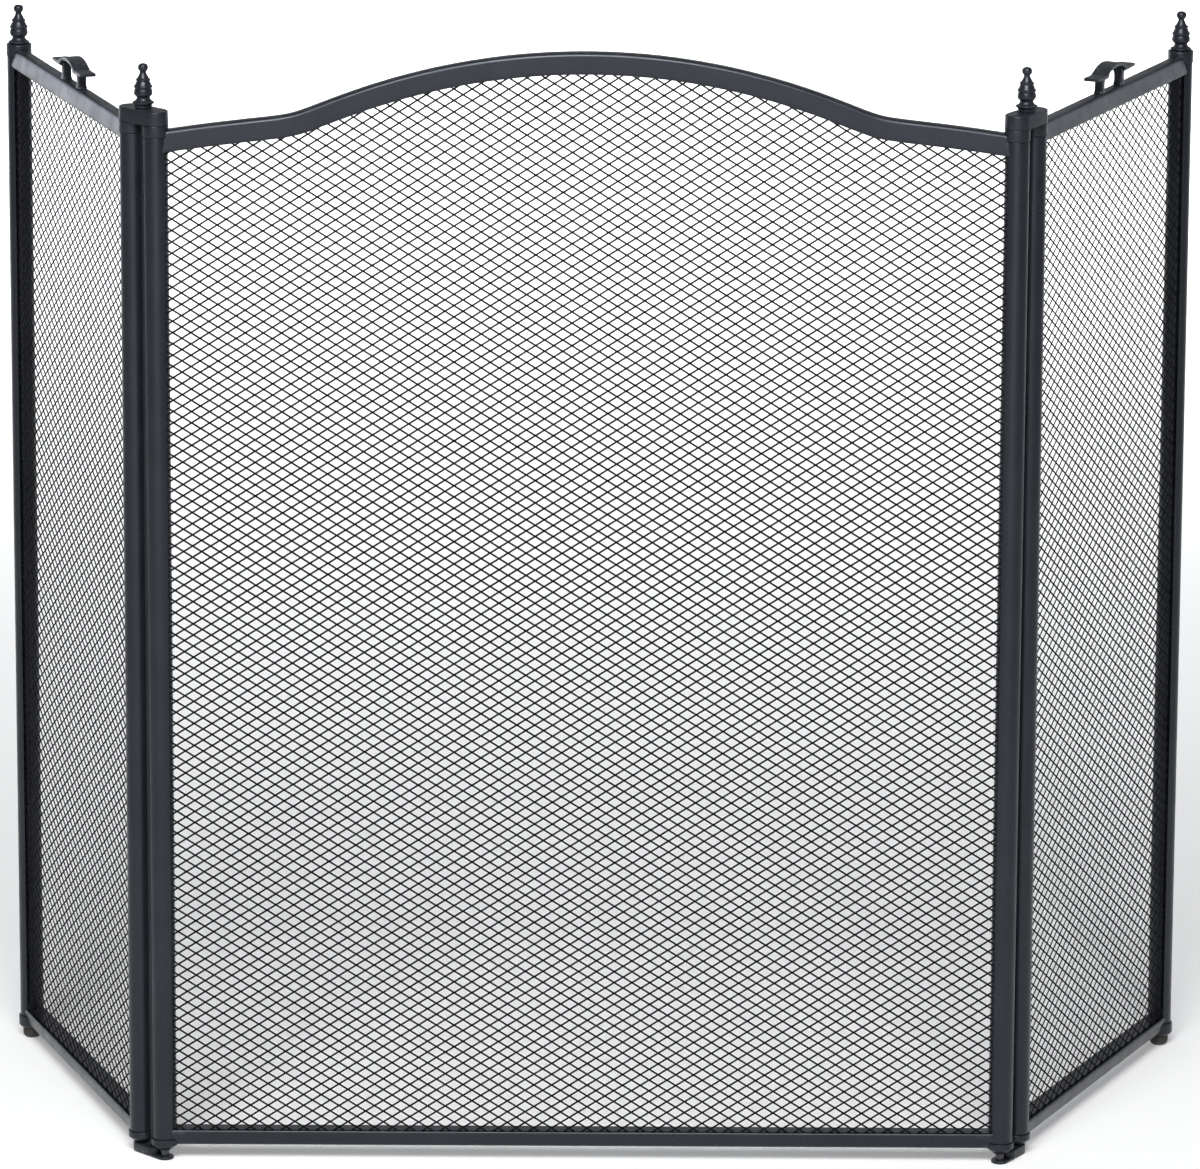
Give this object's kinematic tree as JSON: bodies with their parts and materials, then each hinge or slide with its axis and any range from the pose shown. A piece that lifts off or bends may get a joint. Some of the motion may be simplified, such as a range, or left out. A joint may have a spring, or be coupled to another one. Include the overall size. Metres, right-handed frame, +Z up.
{
  "type": "fireplace screen",
  "caption": "Free-standing folding fireplace screen with an arched centre panel, hinged side wings, diamond mesh, turned finials and small lifting handles.",
  "frame": {"origin": "on the floor, under the middle of the box around the screen as it stands with both wings folded part way back", "axes": "+X to the right of someone facing the centre panel, +Y from the front of the centre panel back to the fire, +Z up"},
  "size_m": [0.8679, 0.3082, 0.8087],
  "materials": {
    "powder_coat": "satin charcoal powder coat",
    "mesh_coat": "matte black coat on expanded steel",
    "cast_coat": "satin charcoal coat over cast metal",
    "steel_pin": "blackened turned steel",
    "foot_rubber": "matte"
  },
  "bodies": {
    "centre_panel": {"centre_arch_rail": "powder_coat", "centre_bottom_rail": "powder_coat", "centre_mesh": "mesh_coat", "centre_post_left": "powder_coat", "centre_top_collar_left": "cast_coat", "centre_bottom_collar_left": "cast_coat", "centre_post_right": "powder_coat", "centre_top_collar_right": "cast_coat", "centre_bottom_collar_right": "cast_coat"},
    "left_link": {"left_link_cap": "cast_coat", "left_link_base": "cast_coat", "left_tie_rod": "powder_coat", "left_tie_rod_nut": "steel_pin", "left_link_finial": "cast_coat", "left_centre_pin_top": "steel_pin", "left_wing_pin_top": "steel_pin", "left_centre_pin_bottom": "steel_pin", "left_wing_pin_bottom": "steel_pin"},
    "left_wing": {"left_hinge_post": "powder_coat", "left_hinge_top_collar": "cast_coat", "left_hinge_bottom_collar": "cast_coat", "left_outer_post": "powder_coat", "left_outer_cap": "cast_coat", "left_outer_finial": "cast_coat", "left_outer_stud": "steel_pin", "left_outer_collar": "cast_coat", "left_foot": "foot_rubber", "left_top_rail": "powder_coat", "left_bottom_rail": "powder_coat", "left_mesh": "mesh_coat", "left_handle": "cast_coat", "left_handle_rivet_a": "steel_pin", "left_handle_rivet_b": "steel_pin"},
    "right_link": {"right_link_cap": "cast_coat", "right_link_base": "cast_coat", "right_tie_rod": "powder_coat", "right_tie_rod_nut": "steel_pin", "right_link_finial": "cast_coat", "right_centre_pin_top": "steel_pin", "right_wing_pin_top": "steel_pin", "right_centre_pin_bottom": "steel_pin", "right_wing_pin_bottom": "steel_pin"},
    "right_wing": {"right_hinge_post": "powder_coat", "right_hinge_top_collar": "cast_coat", "right_hinge_bottom_collar": "cast_coat", "right_outer_post": "powder_coat", "right_outer_cap": "cast_coat", "right_outer_finial": "cast_coat", "right_outer_stud": "steel_pin", "right_outer_collar": "cast_coat", "right_foot": "foot_rubber", "right_top_rail": "powder_coat", "right_bottom_rail": "powder_coat", "right_mesh": "mesh_coat", "right_handle": "cast_coat", "right_handle_rivet_a": "steel_pin", "right_handle_rivet_b": "steel_pin"}
  },
  "joints": [
    {"name": "left_link_pivot", "type": "hinge", "parent": "centre_panel", "child": "left_link", "pos_m": [-0.30822, -0.14438, 0], "axis": [0, 0, -1], "range_deg": [-46, 44]},
    {"name": "left_wing_pivot", "type": "hinge", "parent": "left_link", "child": "left_wing", "pos_m": [-0.32559, -0.1264, 0], "axis": [0, 0, -1], "range_deg": [-24, 66]},
    {"name": "right_link_pivot", "type": "hinge", "parent": "centre_panel", "child": "right_link", "pos_m": [0.29178, -0.14438, 0], "axis": [0, 0, 1], "range_deg": [-59, 31]},
    {"name": "right_wing_pivot", "type": "hinge", "parent": "right_link", "child": "right_wing", "pos_m": [0.30466, -0.12295, 0], "axis": [0, 0, 1], "range_deg": [-6.5, 83.5]}
  ]
}
